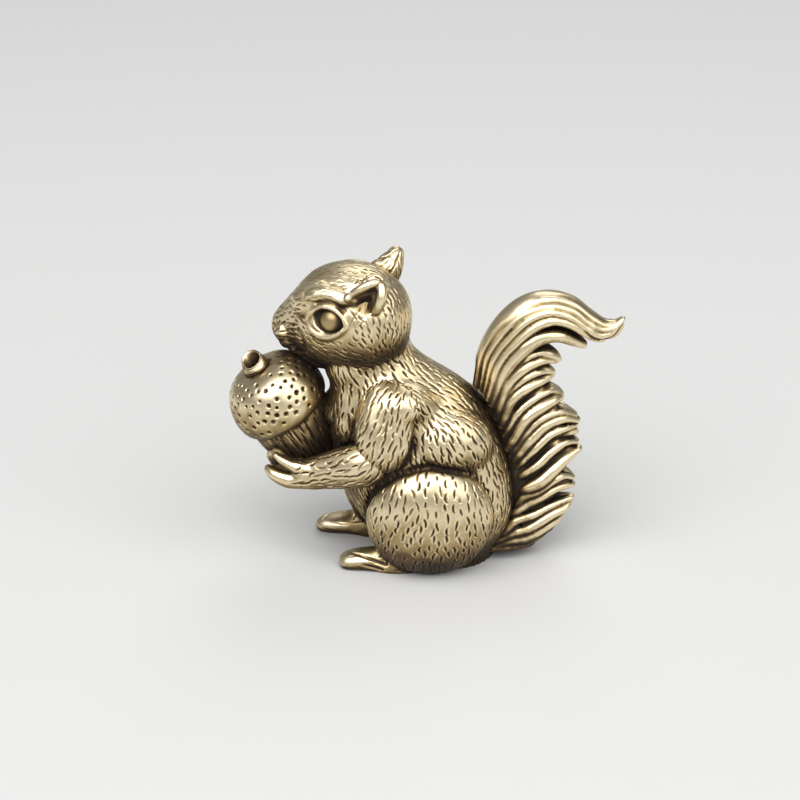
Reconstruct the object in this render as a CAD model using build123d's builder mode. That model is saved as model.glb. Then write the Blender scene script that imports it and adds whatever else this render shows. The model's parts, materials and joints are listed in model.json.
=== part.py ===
from build123d import *
import os
from math import cos, radians, sin

# A small cast-brass squirrel that sits up and holds an acorn, whose stem is bored for a stick.
# Millimetres. The nose points to -X, the animal's left side to -Y, and it sits on the plane Z = 0.

# Torso: an egg that leans forward, from the flat seat to the neck
torso_height = 25.2
torso_depth = 19.6
torso_width = 15.6
# Each station: height, centre and depth, width shares, and the lean of its plane in degrees
torso_station_shares = (
    (0.000, 0.120, 0.560, 0.640, 0.0),
    (0.145, 0.094, 0.800, 0.900, 4.0),
    (0.305, 0.046, 0.960, 1.000, 5.0),
    (0.455, -0.018, 1.000, 0.980, 9.0),
    (0.610, -0.086, 0.960, 0.930, 13.0),
    (0.760, -0.160, 0.800, 0.790, 15.0),
    (0.890, -0.268, 0.590, 0.580, 17.0),
    (1.000, -0.326, 0.470, 0.460, 18.0),
)

# Head: a round skull drawn out to the nose, turned a little to the animal's right
head_length = 16.2
head_height = 12.2
head_width = 11.6
head_rise = 4.3
head_reach = 1.6
head_turn = 18.0
nose_share = -0.600
nape_share = 0.400
nose_drop_share = -0.170
# Each station: place along the head from its middle, lift, height and width shares
head_station_shares = (
    (-0.585, -0.165, 0.230, 0.200),
    (-0.540, -0.150, 0.360, 0.310),
    (-0.470, -0.110, 0.500, 0.430),
    (-0.380, -0.055, 0.690, 0.600),
    (-0.250, -0.015, 0.900, 0.850),
    (-0.080, 0.000, 1.000, 1.000),
    (0.110, 0.000, 0.960, 0.960),
    (0.270, -0.005, 0.740, 0.740),
    (0.365, -0.010, 0.400, 0.400),
)

# Ears: leaf-shaped, hollowed in front
ear_length = 5.0
ear_width = 4.2
ear_thickness = 2.1
ear_hollow = 1.3
ear_facing = 35.0
ear_root_shares = (0.083, 0.375, 0.205)
ear_lean_shares = (0.54, 0.03, 0.84)
ear_station_shares = ((0.00, 0.82), (0.35, 1.00), (0.65, 0.72), (0.88, 0.36))

# Eyes: balls set in sockets at the sides of the head
eye_diameter = 3.2
eye_place_shares = (-0.115, 0.375, 0.080)

# Brows: ridges over the eyes, drawn out along the head
brow_length = 6.6
brow_height = 1.7
brow_depth = 2.0
brow_yaw = 12.0
brow_place_shares = (-0.117, 0.372, 0.303)

# Whisker pads: balls at the sides of the nose
pad_diameter = 2.6
pad_place_shares = (-0.475, 0.110, -0.190)

# Acorn: nut, dimpled cap and bored stem on one tilted axis, ahead of the chest and under the chin
chest_clearance = 0.70
chin_share = 0.450
chin_clearance = 0.46
acorn_tilt = 30.0
acorn_lean = 8.0
nut_diameter = 9.6
nut_length = 9.0
nut_spigot_diameter = 8.6
nut_spigot_height = 1.6
nut_bluntness = 2.6
nut_profile_shares = (0.30, 0.55, 0.75, 0.90)
cap_diameter = 10.8
cap_height = 5.6
cap_lip = 0.9
cap_belly_share = 0.2
stem_diameter = 2.6
stem_height = 1.3
stem_edge = 0.3
bore_diameter = 1.5
bore_depth = 7.0

# Arms: upper arm from the shoulder to the elbow, forearm from the elbow to the wrist
shoulder_shares = (-0.235, 0.300, 0.865)
elbow_shares = (-0.235, 0.425, 0.585)
upper_arm_depth = 6.4
upper_arm_thickness = 4.6
upper_arm_overlap_share = 0.16
upper_arm_station_shares = ((0.06, 0.55), (0.25, 0.86), (0.50, 1.00), (0.75, 0.92), (0.94, 0.55))
forearm_depth = 4.6
forearm_thickness = 4.0
forearm_station_shares = ((0.05, 0.72), (0.25, 1.00), (0.55, 0.90), (0.85, 0.74), (1.00, 0.70))

# Paws: a palm and four fingers round the nut, placed by height below the cap and angle round the nut
palm_depth_share = 0.70
palm_length = 3.6
palm_thickness = 2.6
palm_station_shares = ((32.0, 0.95), (48.0, 1.00), (64.0, 0.82), (73.0, 0.50))
palm_turn_step = 1.0
grip = 0.35
wrist_depth_share = 0.74
wrist_angle = 14.0
wrist_stand_off = 1.8
finger_diameter = 1.3
finger_angles = (34.0, 45.0, 56.0, 67.0)
finger_top_shares = (0.28, 0.32, 0.38, 0.46)
finger_station_shares = ((0.00, 1.00), (0.40, 1.00), (0.70, 0.90), (0.92, 0.55))

# Haunches: flattened ovals on the sides of the torso, the right one a stride ahead of the left
haunch_length = 14.3
haunch_height = 14.6
haunch_thickness = 8.6
haunch_forward_share = 0.020
haunch_spread_share = 0.365
haunch_lift_share = 0.480
haunch_roll = 11.0
haunch_pitch = 8.0
strides = {"left": 0.0, "right": 3.0}

# Feet: long flat-soled ovals with toes, splayed about their heels
foot_length = 10.5
foot_width = 3.6
foot_height = 2.5
foot_spread_share = 0.290
foot_splays = {"left": -4.0, "right": 6.0}
foot_station_shares = ((0.04, 0.45), (0.18, 0.85), (0.45, 1.00), (0.75, 0.90), (0.93, 0.52))
toe_diameter = 1.3
toe_length = 2.6
toe_places_shares = (-0.32, -0.11, 0.11, 0.32)
toe_rise_share = 0.35

# Tail: a spine behind the back, a curl over its top and locks that fan out behind
tail_height = 30.3
tail_reach = 14.2
tail_root = 8.35
tail_thickness = 6.0
spine_depth = 3.4
spine_shares = ((0.00, 0.03), (0.13, 0.16), (0.15, 0.36), (0.06, 0.55), (-0.04, 0.70), (-0.06, 0.80))
spine_station_shares = ((0.0, 0.75), (0.25, 0.95), (0.5, 1.0), (0.75, 1.0), (1.0, 0.7))
curl_width = 4.0
curl_thickness = 5.0
curl_shares = (
    (-0.05, 0.68),
    (-0.05, 0.83),
    (0.10, 0.945),
    (0.34, 1.01),
    (0.57, 0.99),
    (0.74, 0.93),
    (0.86, 0.91),
    (0.98, 0.945),
)
curl_station_shares = ((0.0, 0.75), (0.18, 0.95), (0.38, 1.0), (0.58, 0.9), (0.74, 0.62), (0.88, 0.42))
lock_width = 3.0
lock_thickness = 5.4
# Each lock: root, tip and bend; the bend is a share of the way from root to tip
lock_shares = (
    ((0.01, 0.03), (0.58, 0.215), (0.46, 0.90)),
    ((0.06, 0.11), (0.61, 0.305), (0.42, 1.24)),
    ((0.11, 0.20), (0.66, 0.430), (0.37, 1.03)),
    ((0.12, 0.28), (0.65, 0.500), (0.26, 1.37)),
    ((0.10, 0.35), (0.62, 0.570), (0.22, 1.29)),
    ((0.06, 0.40), (0.515, 0.650), (0.24, 1.46)),
    ((0.02, 0.49), (0.43, 0.737), (0.34, 1.49)),
    ((-0.03, 0.57), (0.49, 0.795), (0.24, 1.62)),
    ((-0.06, 0.65), (0.66, 0.862), (0.44, 1.96)),
)
lock_station_shares = ((0.05, 0.60), (0.25, 0.95), (0.50, 1.00), (0.75, 0.78), (0.92, 0.45))

overrun = 4.0
sides = {"left": -1, "right": 1}


def oval(plane, across, along):
    """An oval section on a plane: across is measured on the plane's x, along on its y."""
    with BuildSketch(plane) as section:
        Ellipse(across / 2, along / 2)
    return section.sketch


def between(start, end, share):
    """The point at a share of the way from start to end."""
    return start + (end - start) * share


def save(piece, name):
    """Labels a finished piece and writes it to its own file."""
    piece.label = name
    export_step(piece, f"parts/{name}.step")


os.makedirs("parts", exist_ok=True)

# Torso
with BuildPart() as torso:
    torso_sections = []
    for height, centre, depth, width, lean in torso_station_shares:
        torso_plane = Plane(
            origin=(centre * torso_depth, 0, height * torso_height),
            x_dir=(cos(radians(lean)), 0, sin(radians(lean))),
            z_dir=(-sin(radians(lean)), 0, cos(radians(lean))),
        )
        torso_sections.append(oval(torso_plane, depth * torso_depth, width * torso_width))
    loft(torso_sections)
neck_centre = Vector(torso_station_shares[-1][1] * torso_depth, 0, torso_height)

# Head, in its own turned frame with x towards the nape
head_centre = neck_centre + Vector(-head_reach, 0, head_rise)
head_frame = Plane(
    origin=head_centre,
    x_dir=(cos(radians(head_turn)), -sin(radians(head_turn)), 0),
    z_dir=(0, 0, 1),
)


def on_head(along, across, up):
    """A point of the head from shares of its length, width and height."""
    return head_frame.from_local_coords(Vector(along * head_length, across * head_width, up * head_height))


eye_centres = {
    name: on_head(eye_place_shares[0], side * eye_place_shares[1], eye_place_shares[2])
    for name, side in sides.items()
}
# Brow: the oval form of both brows, before it is placed
with BuildPart() as brow:
    Sphere(brow_length / 2)
    scale(by=(1, brow_depth / brow_length, brow_height / brow_length))

with BuildPart() as head:
    head_sections = [Vertex(*on_head(nose_share, 0, nose_drop_share))]
    for along, lift, height, width in head_station_shares:
        head_plane = Plane(origin=on_head(along, 0, lift), x_dir=head_frame.z_dir, z_dir=head_frame.x_dir)
        head_sections.append(oval(head_plane, height * head_height, width * head_width))
    head_sections.append(Vertex(*on_head(nape_share, 0, 0)))
    loft(head_sections)
    for side in sides.values():
        along, across, up = brow_place_shares
        with Locations(on_head(along, side * across, up)):
            add(brow.part, rotation=(0, 0, side * brow_yaw - head_turn))
        along, across, up = pad_place_shares
        with Locations(on_head(along, side * across, up)):
            Sphere(pad_diameter / 2)
    add(torso.part, mode=Mode.SUBTRACT)
    with Locations(*eye_centres.values()):
        Sphere(eye_diameter / 2, mode=Mode.SUBTRACT)


def make_eye(name):
    """An eyeball, half of it in its socket."""
    with BuildPart() as eye:
        with Locations(eye_centres[name]):
            Sphere(eye_diameter / 2)
    save(eye.part, f"eye_{name}")


def make_ear(name, side):
    """A leaf-shaped ear, hollowed on its front, that stands on the head."""
    root = on_head(ear_root_shares[0], side * ear_root_shares[1], ear_root_shares[2])
    along, across, up = ear_lean_shares
    lean = head_frame.x_dir * along + head_frame.y_dir * (side * across) + head_frame.z_dir * up
    lean = lean.normalized()
    front = head_frame.x_dir * -sin(radians(ear_facing))
    front += head_frame.y_dir * (side * cos(radians(ear_facing)))
    broad = lean.cross(front).normalized()
    with BuildPart() as ear:
        ear_sections = []
        for place, size in ear_station_shares:
            ear_plane = Plane(origin=root + lean * (place * ear_length), x_dir=broad, z_dir=lean)
            ear_sections.append(oval(ear_plane, size * ear_width, size * ear_thickness))
        ear_sections.append(Vertex(*(root + lean * ear_length)))
        loft(ear_sections)
        hollow_sections = []
        for place, size in ear_station_shares:
            hollow_plane = Plane(
                origin=root + lean * (place * ear_length) + front * (ear_thickness / 2),
                x_dir=broad,
                z_dir=lean,
            )
            hollow_sections.append(oval(hollow_plane, size * (ear_width - ear_hollow), size * ear_hollow))
        loft(hollow_sections, mode=Mode.SUBTRACT)
        add(head.part, mode=Mode.SUBTRACT)
    save(ear.part.solids().sort_by(SortBy.VOLUME)[-1], f"ear_{name}")


# Acorn frame: z along the axis towards the stem, x across it towards the animal's front
chest = torso_station_shares[-3]
chest_front = (chest[1] - chest[2] / 2) * torso_depth
acorn_forward = cap_diameter / 2 * cos(radians(acorn_tilt)) + chest_clearance - chest_front
acorn_drop = chin_share * head_height + cap_height * cos(radians(acorn_tilt)) + chin_clearance
acorn_height = head_centre.Z - acorn_drop
acorn_axis = Vector(
    -sin(radians(acorn_tilt)),
    -sin(radians(acorn_lean)),
    cos(radians(acorn_tilt)),
).normalized()
acorn_frame = Plane(
    origin=(-acorn_forward, 0, acorn_height),
    x_dir=Vector(0, 1, 0).cross(acorn_axis) * -1,
    z_dir=acorn_axis,
)
acorn_section = Plane(origin=acorn_frame.origin, x_dir=acorn_frame.x_dir, z_dir=-acorn_frame.y_dir)
acorn_line = Axis(acorn_frame.origin, acorn_axis)
stem_top = cap_height + stem_height
bore_floor = stem_top - bore_depth


def nut_radius(depth_share):
    """The nut's radius at a share of its length below the cap."""
    return nut_diameter / 2 * (1 - depth_share**nut_bluntness) ** 0.5


# Nut: straight-sided below the cap, round at the tip, with a spigot up into the cap
with BuildPart() as acorn_nut:
    with BuildSketch(acorn_section):
        with BuildLine():
            Spline(
                (nut_diameter / 2, 0),
                *[(nut_radius(share), -share * nut_length) for share in nut_profile_shares],
                (0, -nut_length),
                tangents=((0, -1), (-1, 0)),
            )
            Polyline(
                (0, -nut_length),
                (0, nut_spigot_height),
                (nut_spigot_diameter / 2, nut_spigot_height),
                (nut_spigot_diameter / 2, 0),
                (nut_diameter / 2, 0),
            )
        make_face()
    revolve(axis=acorn_line)
    with BuildSketch(acorn_frame.offset(bore_floor)):
        Circle(bore_diameter / 2)
    extrude(amount=bore_depth, mode=Mode.SUBTRACT)
    add(torso.part, mode=Mode.SUBTRACT)

# Cap: a dome with a rounded lip that hangs over the nut
with BuildPart() as acorn_cap:
    with BuildSketch(acorn_section):
        with BuildLine():
            Spline(
                (nut_diameter / 2, -cap_lip),
                (cap_diameter / 2, cap_height * cap_belly_share),
                (0, cap_height),
                tangents=((1, 0), (-1, 0)),
            )
            Polyline((0, cap_height), (0, -cap_lip), (nut_diameter / 2, -cap_lip))
        make_face()
    revolve(axis=acorn_line)
    add(acorn_nut.part, mode=Mode.SUBTRACT)
    with BuildSketch(acorn_frame.offset(bore_floor)):
        Circle(bore_diameter / 2)
    extrude(amount=bore_depth + overrun, mode=Mode.SUBTRACT)

# Stem: a short round-edged collar on the cap, bored through
with BuildPart() as acorn_stem:
    with BuildSketch(acorn_frame):
        Circle(stem_diameter / 2)
    extrude(amount=stem_top)
    fillet(acorn_stem.faces().sort_by(acorn_line)[-1].edges(), radius=stem_edge)
    with BuildSketch(acorn_frame.offset(-overrun)):
        Circle(bore_diameter / 2)
    extrude(amount=stem_top + 2 * overrun, mode=Mode.SUBTRACT)
    add(acorn_nut.part, mode=Mode.SUBTRACT)
    add(acorn_cap.part, mode=Mode.SUBTRACT)


def on_nut(side, depth_share, angle, stand_off):
    """A point off the nut's side: depth below the cap, angle from the animal's side towards its front."""
    radius = nut_radius(depth_share) + stand_off
    turn = radians(angle)
    return acorn_frame.from_local_coords(
        Vector(radius * sin(turn), -side * radius * cos(turn), -depth_share * nut_length)
    )


def on_torso(shares, side):
    """A point of the torso from shares of its depth, width and height."""
    along, across, up = shares
    return Vector(along * torso_depth, side * across * torso_width, up * torso_height)


def limb_plane(start, end, share, broad):
    """The plane across a straight limb at a share of its length, its x near the broad direction."""
    axis = (end - start).normalized()
    return Plane(origin=between(start, end, share), x_dir=broad - axis * broad.dot(axis), z_dir=axis)


def wrist_plane(side):
    """The plane where a forearm ends and its paw begins."""
    elbow = on_torso(elbow_shares, side)
    wrist = on_nut(side, wrist_depth_share, wrist_angle, wrist_stand_off)
    return limb_plane(elbow, wrist, 1, Vector(0, 0, 1))


def make_arm(side, paw):
    """An upper arm and forearm in one piece, from the shoulder to the paw."""
    shoulder = on_torso(shoulder_shares, side)
    elbow = on_torso(elbow_shares, side)
    wrist = wrist_plane(side).origin
    top = between(shoulder, elbow, -upper_arm_overlap_share)
    heel = between(shoulder, elbow, 1 + upper_arm_overlap_share)
    with BuildPart() as arm:
        upper_sections = [Vertex(*top)]
        for place, size in upper_arm_station_shares:
            upper_plane = limb_plane(top, heel, place, Vector(-1, 0, 0))
            upper_sections.append(oval(upper_plane, size * upper_arm_depth, size * upper_arm_thickness))
        loft([*upper_sections, Vertex(*heel)])
        fore_sections = []
        for place, size in forearm_station_shares:
            fore_plane = limb_plane(elbow, wrist, place, Vector(0, 0, 1))
            fore_sections.append(oval(fore_plane, size * forearm_depth, size * forearm_thickness))
        loft(fore_sections)
        add(torso.part, mode=Mode.SUBTRACT)
        add(acorn_nut.part, mode=Mode.SUBTRACT)
        add(paw, mode=Mode.SUBTRACT)
    return arm.part


def make_paw(side):
    """A palm that goes on from the wrist round the nut, with four fingers up the nut's side."""
    size_at_wrist = forearm_station_shares[-1][1]
    with BuildPart() as paw:
        wrist_width = size_at_wrist * forearm_depth
        palm_sections = [oval(wrist_plane(side), wrist_width, size_at_wrist * forearm_thickness)]
        for angle, size in palm_station_shares:
            place = on_nut(side, palm_depth_share, angle, palm_thickness / 2 - grip)
            ahead = on_nut(side, palm_depth_share, angle + palm_turn_step, palm_thickness / 2 - grip)
            palm_plane = Plane(origin=place, x_dir=acorn_axis, z_dir=ahead - place)
            palm_sections.append(oval(palm_plane, size * palm_length, size * palm_thickness))
        loft(palm_sections)
        for angle, top_share in zip(finger_angles, finger_top_shares):
            finger_sections = []
            for place, size in finger_station_shares:
                depth_share = palm_depth_share + (top_share - palm_depth_share) * place
                knuckle = on_nut(side, depth_share, angle, finger_diameter / 2 - grip)
                finger_plane = Plane(origin=knuckle, x_dir=acorn_frame.x_dir, z_dir=acorn_axis)
                finger_sections.append(oval(finger_plane, size * finger_diameter, size * finger_diameter))
            loft([*finger_sections, Vertex(*on_nut(side, top_share, angle, finger_diameter / 2 - grip))])
        add(acorn_nut.part, mode=Mode.SUBTRACT)
        add(torso.part, mode=Mode.SUBTRACT)
    return paw.part


# Thigh: the oval form of both haunches, before it is placed
with BuildPart() as thigh:
    Sphere(haunch_length / 2)
    scale(by=(1, haunch_thickness / haunch_length, haunch_height / haunch_length))


def make_haunch(side, centre, arm):
    """A thigh with its lower edge tucked in, seated on the torso's side under the arm."""
    with BuildPart() as haunch:
        with Locations(centre):
            add(thigh.part, rotation=(-side * haunch_roll, haunch_pitch, 0))
        split(bisect_by=Plane.XY, keep=Keep.TOP)
        add(torso.part, mode=Mode.SUBTRACT)
        add(arm, mode=Mode.SUBTRACT)
    return haunch.part


def make_foot(side, heel, splay, haunch):
    """A flat-soled foot from under the haunch forward, with four toes."""
    ahead = Vector(-cos(radians(splay)), side * sin(radians(splay)), 0)
    across = Vector(0, 0, 1).cross(ahead)
    with BuildPart() as foot:
        foot_sections = [Vertex(*heel)]
        for place, size in foot_station_shares:
            foot_plane = Plane(origin=heel + ahead * (place * foot_length), x_dir=across, z_dir=ahead)
            foot_sections.append(oval(foot_plane, size * foot_width, 2 * size * foot_height))
        loft([*foot_sections, Vertex(*(heel + ahead * foot_length))])
        for toe_share in toe_places_shares:
            toe_root = heel + across * (toe_share * foot_width) + ahead * (foot_length - toe_length)
            toe_root += Vector(0, 0, toe_diameter * toe_rise_share)
            toe_sections = []
            for place, size in finger_station_shares:
                toe_plane = Plane(origin=toe_root + ahead * (place * toe_length), x_dir=across, z_dir=ahead)
                toe_sections.append(oval(toe_plane, size * toe_diameter, size * toe_diameter))
            loft([*toe_sections, Vertex(*(toe_root + ahead * toe_length))])
        split(bisect_by=Plane.XY, keep=Keep.TOP)
        add(haunch, mode=Mode.SUBTRACT)
        add(torso.part, mode=Mode.SUBTRACT)
    return foot.part


def on_tail(shares):
    """A point of the tail's middle plane from shares of its reach and height."""
    return Vector(tail_root + shares[0] * tail_reach, 0, shares[1] * tail_height)


def tail_sections(path, station_shares, width, thickness):
    """Ovals across a path in the tail's middle plane."""
    sections = []
    for place, size in station_shares:
        tail_plane = Plane(origin=path @ place, x_dir=(0, 1, 0), z_dir=path % place)
        sections.append(oval(tail_plane, size * thickness, size * width))
    return sections


save(torso.part, "torso")
save(head.part, "head")
save(acorn_nut.part, "acorn_nut")
save(acorn_cap.part, "acorn_cap")
save(acorn_stem.part, "acorn_stem")
haunches = []
for name, side in sides.items():
    make_eye(name)
    make_ear(name, side)
    paw = make_paw(side)
    save(paw, f"paw_{name}")
    arm = make_arm(side, paw)
    save(arm, f"arm_{name}")
    haunch_centre = on_torso((haunch_forward_share, haunch_spread_share, 0), side)
    haunch_centre += Vector(-strides[name], 0, haunch_height * haunch_lift_share)
    haunches.append(make_haunch(side, haunch_centre, arm))
    save(haunches[-1], f"haunch_{name}")
    heel = Vector(haunch_centre.X, side * foot_spread_share * torso_width, 0)
    save(make_foot(side, heel, foot_splays[name], haunches[-1]), f"foot_{name}")

# Tail: spine, curl and locks grown into one piece, seated on the back and between the haunches
with BuildPart() as tail:
    with BuildLine(mode=Mode.PRIVATE):
        spine_path = Spline(*[on_tail(shares) for shares in spine_shares])
        curl_path = Spline(*[on_tail(shares) for shares in curl_shares])
    loft(tail_sections(spine_path, spine_station_shares, spine_depth, tail_thickness))
    curl_sections = tail_sections(curl_path, curl_station_shares, curl_width, curl_thickness)
    loft([*curl_sections, Vertex(*(curl_path @ 1))])
    for root_shares, tip_shares, bend_shares in lock_shares:
        lock_root = on_tail(root_shares)
        lock_tip = on_tail(tip_shares)
        sweep = lock_tip - lock_root
        lock_bend = lock_root + Vector(sweep.X * bend_shares[0], 0, sweep.Z * bend_shares[1])
        with BuildLine(mode=Mode.PRIVATE):
            lock_path = Bezier(lock_root, lock_bend, lock_tip)
        lock_sections = tail_sections(lock_path, lock_station_shares, lock_width, lock_thickness)
        loft([*lock_sections, Vertex(*lock_tip)])
    split(bisect_by=Plane.XY, keep=Keep.TOP)
    add(torso.part, mode=Mode.SUBTRACT)
    for haunch in haunches:
        add(haunch, mode=Mode.SUBTRACT)
save(tail.part, "tail")
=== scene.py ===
import json
import math
import bpy
import numpy as np
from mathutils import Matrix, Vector
from mathutils.bvhtree import BVHTree
from mathutils.kdtree import KDTree


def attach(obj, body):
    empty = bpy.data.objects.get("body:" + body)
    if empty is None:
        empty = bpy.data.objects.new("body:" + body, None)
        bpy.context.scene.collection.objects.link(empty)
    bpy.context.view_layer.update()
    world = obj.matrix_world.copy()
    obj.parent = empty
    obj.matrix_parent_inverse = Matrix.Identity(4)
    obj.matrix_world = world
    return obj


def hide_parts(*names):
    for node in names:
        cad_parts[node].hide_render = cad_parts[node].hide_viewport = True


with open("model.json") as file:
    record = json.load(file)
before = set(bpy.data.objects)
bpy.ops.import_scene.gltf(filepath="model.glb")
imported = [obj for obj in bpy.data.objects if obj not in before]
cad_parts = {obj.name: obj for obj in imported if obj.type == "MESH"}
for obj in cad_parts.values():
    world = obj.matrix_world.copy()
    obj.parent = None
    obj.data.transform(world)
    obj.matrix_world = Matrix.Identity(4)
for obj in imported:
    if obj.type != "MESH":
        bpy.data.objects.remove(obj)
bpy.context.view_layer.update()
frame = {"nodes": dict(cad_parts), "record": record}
mm = 0.001
chance = np.random.default_rng(41)
sideSigns = {"left": -1, "right": 1}
studio = {  # the photograph's viewing angle, in millimetres and pixels
    "target": (-3.0, 0.0, 19.2), "distance": 250.0, "elevation": 24.0, "lens": 98.8, "focal": 2195.0, "middle": 400.0,
    "lamps": (  # place in millimetres, size, power
        ((-306, -504, 774), 0.90, 9.6), ((468, -486, 594), 0.90, 4.8), ((108, 540, 684), 0.54, 1.6),
    ),
    "floor": (0.64, 0.64, 0.63), "floorSize": 3.0, "floorRough": 0.8, "sky": (0.75, 0.76, 0.78), "skyPower": 0.3,
}
tilt = math.radians(studio["elevation"])
sight = np.array([0, math.cos(tilt), -math.sin(tilt)])


def pick(*objs):  # select these alone, the first one active
    bpy.ops.object.select_all(action="DESELECT")
    for obj in objs:
        obj.select_set(True)
    bpy.context.view_layer.objects.active = objs[0]


def link(name, data):
    obj = bpy.data.objects.new(name, data)
    bpy.context.scene.collection.objects.link(obj)
    return obj


def joined(objs):
    pick(*objs)
    bpy.ops.object.join()
    return objs[0]


def finish(obj, kind, **settings):  # add a modifier and apply it
    pick(obj)
    bpy.ops.object.modifier_add(type=kind)
    modifier = obj.modifiers[-1]
    for key, value in settings.items():
        setattr(modifier, key, value)
    bpy.ops.object.modifier_apply(modifier=modifier.name)


def readPoints(mesh):
    values = np.empty(len(mesh.vertices) * 3)
    mesh.vertices.foreach_get("co", values)
    return values.reshape(-1, 3)


def readNormals(mesh):
    values = np.empty(len(mesh.vertices) * 3)
    mesh.vertex_normals.foreach_get("vector", values)
    return values.reshape(-1, 3)


def readEdges(mesh):
    values = np.empty(len(mesh.edges) * 2, np.int32)
    mesh.edges.foreach_get("vertices", values)
    return values.reshape(-1, 2)


def writePoints(mesh, points):
    mesh.vertices.foreach_set("co", points.ravel())
    mesh.update()


def writeValues(mesh, name, values):
    attribute = mesh.attributes.get(name) or mesh.attributes.new(name, "FLOAT", "POINT")
    attribute.data.foreach_set("value", values.astype(np.float32))


def averaged(values, edges):  # each vertex's neighbours, averaged
    count = len(values)
    total = np.zeros_like(values)
    for here, there in ((edges[:, 0], edges[:, 1]), (edges[:, 1], edges[:, 0])):
        for k in range(values.shape[1]):
            total[:, k] += np.bincount(here, values[there, k], count)
    return total / np.maximum(np.bincount(edges.ravel(), minlength=count), 1)[:, None]


def relaxed(points, edges, weights, rounds):
    for _ in range(rounds):
        points = points + (averaged(points, edges) - points) * weights[:, None]
    return points


def relaxedThere(points, edges, weights, rounds):  # the same, worked out only where the weights are
    there = weights > 0.01
    used, ends = np.unique(edges[there[edges].any(1)], return_inverse=True)
    points = points.copy()
    points[used] = relaxed(points[used], ends.reshape(-1, 2), np.where(there[used], weights[used], 0), rounds)
    return points


def hollowness(mesh, rounds, scale):  # above 0 in creases, below 0 on crests
    points, edges = readPoints(mesh), readEdges(mesh)
    evened = relaxed(points, edges, np.full(len(points), 0.5), rounds)
    return np.clip(np.sum((evened - points) * readNormals(mesh), axis=1) / (scale * mm), -1, 1)


def smoothStep(low, high, values):
    t = np.clip((values - low) / (high - low), 0, 1)
    return t * t * (3 - 2 * t)


def treeOf(places):
    tree = KDTree(len(places))
    for i, place in enumerate(places):
        tree.insert(place, i)
    tree.balance()
    return tree


def onePerCell(places, size):  # a scattered choice of points, about a cell apart
    order = chance.permutation(len(places))
    cells = np.floor(places[order] / size).astype(np.int64)
    keys = cells @ np.array([73856093, 19349663, 83492791])  # one number for each cell
    return order[np.unique(keys, return_index=True)[1]]


def scattered(places, gap):  # a choice of points, none nearer to another than the gap
    order = chance.permutation(onePerCell(places, gap / 2))
    tree = treeOf(places[order])
    kept = np.ones(len(order), bool)
    for n, choice in enumerate(order):
        if kept[n]:
            for _, m, _ in tree.find_range(places[choice], gap):
                kept[m] = m == n
    return order[kept]


def copyNode(node, name, swell):  # a merged copy of a CAD node, grown by the swell
    obj = link(name, frame["nodes"][node].data.copy())
    pick(obj)
    bpy.ops.object.mode_set(mode="EDIT")
    bpy.ops.mesh.select_all(action="SELECT")
    bpy.ops.mesh.remove_doubles(threshold=0.002 * mm)
    bpy.ops.mesh.normals_make_consistent(inside=False)
    bpy.ops.object.mode_set(mode="OBJECT")
    writePoints(obj.data, readPoints(obj.data) + readNormals(obj.data) * swell * mm)
    return obj


def rounded(path, radii):  # a path with its last end closed like a finger tip, in metres
    way = path[-1] - path[-2]
    way = way / np.linalg.norm(way)
    turns = np.radians((25, 48, 66, 80, 88))
    ends = path[-1] + np.outer(np.sin(turns) * radii[-1], way)
    return np.vstack([path, ends]), np.concatenate([radii, np.cos(turns) * radii[-1]])


def tubes(name, paths):  # round bars along paths, each a list of points and radii in metres, as one mesh
    curve = bpy.data.curves.new(name, "CURVE")
    curve.dimensions = "3D"
    curve.bevel_depth = 1.0
    curve.bevel_resolution = 3
    curve.use_fill_caps = True
    for points, radii in paths:
        spline = curve.splines.new("POLY")
        spline.points.add(len(points) - 1)
        for knot, point, radius in zip(spline.points, points, radii):
            knot.co = (*point, 1.0)
            knot.radius = radius
    obj = link(name, curve)
    pick(obj)
    bpy.ops.object.convert(target="MESH")
    return bpy.context.view_layer.objects.active


def blob(place, radii):  # an oval lump of clay, in millimetres
    bpy.ops.object.select_all(action="DESELECT")
    bpy.ops.mesh.primitive_uv_sphere_add(segments=48, ring_count=32, radius=mm, location=Vector(place) * mm,
                                         scale=radii)
    bpy.ops.object.transform_apply(location=True, rotation=True, scale=True)
    return bpy.context.view_layer.objects.active


def remeshed(obj, voxel):  # one skin round everything, without what is shut inside
    finish(obj, "REMESH", mode="VOXEL", voxel_size=voxel * mm)
    pick(obj)
    bpy.ops.object.mode_set(mode="EDIT")
    bpy.ops.mesh.select_all(action="SELECT")
    bpy.ops.mesh.separate(type="LOOSE")
    bpy.ops.object.mode_set(mode="OBJECT")
    shells = sorted(bpy.context.selected_objects, key=lambda shell: -len(shell.data.vertices))
    for shell in shells[1:]:
        bpy.data.objects.remove(shell)
    return shells[0]


def smoothPath(knots, steps):  # a curve through the knots
    knots = np.array(knots, float)
    padded = np.vstack([2 * knots[0] - knots[1], knots, 2 * knots[-1] - knots[-2]])
    out = []
    for i in range(len(knots) - 1):
        p0, p1, p2, p3 = padded[i:i + 4]
        for t in np.linspace(0, 1, steps, endpoint=i == len(knots) - 2):
            out.append(0.5 * (2 * p1 + (p2 - p0) * t + (2 * p0 - 5 * p1 + 4 * p2 - p3) * t**2
                              + (3 * p1 - p0 - 3 * p2 + p3) * t**3))
    return np.array(out)


def spread(values, count):  # values evened out over a path
    return np.interp(np.linspace(0, 1, count), np.linspace(0, 1, len(values)), values)


def fromPhoto(px, py, y):  # the place y off the middle plane that shows at a pixel of the photograph
    rise = (studio["middle"] - py) / studio["focal"]
    away = studio["distance"] + y * math.cos(tilt)
    z = (rise * away - y * math.sin(tilt)) / (math.cos(tilt) + rise * math.sin(tilt))
    depth = away - z * math.sin(tilt)
    return np.array(studio["target"]) + np.array([(px - studio["middle"]) / studio["focal"] * depth, y, z])


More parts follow.
